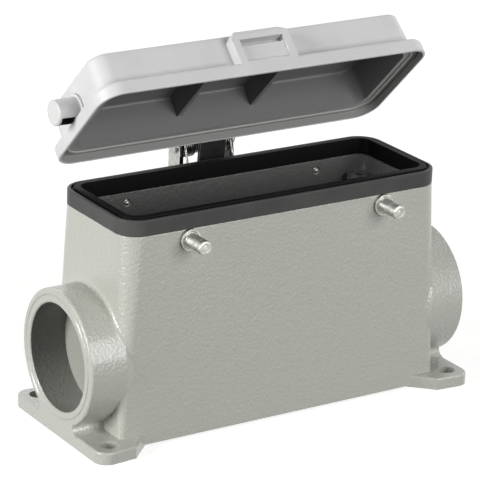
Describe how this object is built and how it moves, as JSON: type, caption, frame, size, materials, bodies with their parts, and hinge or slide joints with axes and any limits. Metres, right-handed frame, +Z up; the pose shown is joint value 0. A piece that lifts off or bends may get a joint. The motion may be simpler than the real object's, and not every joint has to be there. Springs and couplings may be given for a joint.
{
  "type": "heavy duty rectangular connector housing",
  "caption": "Surface-mounting housing of a heavy duty rectangular connector, with a rim gasket, locking pegs, a round cable entry and a hinged cover that stands open.",
  "frame": {"origin": "centre of the four foot holes, in the plane of the feet's underside", "axes": "+X along the housing towards the open cable entry, +Y towards the hinge, +Z up out of the mounting surface"},
  "size_m": [0.1442, 0.0666, 0.1251],
  "materials": {
    "housing_paint": "hammered grey paint",
    "lid_paint": "fine satin grey paint",
    "gasket_rubber": "matt black",
    "plated_steel": "nickel plated",
    "spring_steel": "bright wire",
    "black_plate": "black coated"
  },
  "bodies": {
    "base": {"housing": "housing_paint", "rim_gasket": "gasket_rubber", "peg_front_left": "plated_steel", "peg_front_right": "plated_steel", "peg_rear_left": "plated_steel", "peg_rear_right": "plated_steel", "hinge_bracket": "plated_steel", "catch_plate": "black_plate", "bracket_screw_left": "plated_steel", "bracket_screw_right": "plated_steel", "hinge_pin": "plated_steel", "pin_retaining_ring": "plated_steel", "torsion_spring_left": "spring_steel", "torsion_spring_right": "spring_steel"},
    "cover": {"lid": "lid_paint"}
  },
  "joints": [
    {"name": "cover_hinge", "type": "hinge", "parent": "base", "child": "cover", "pos_m": [0, 0.032, 0.079], "axis": [-1, 0, 0], "range_deg": [-44.75, 50], "deforming": ["torsion_spring_left", "torsion_spring_right"]}
  ]
}
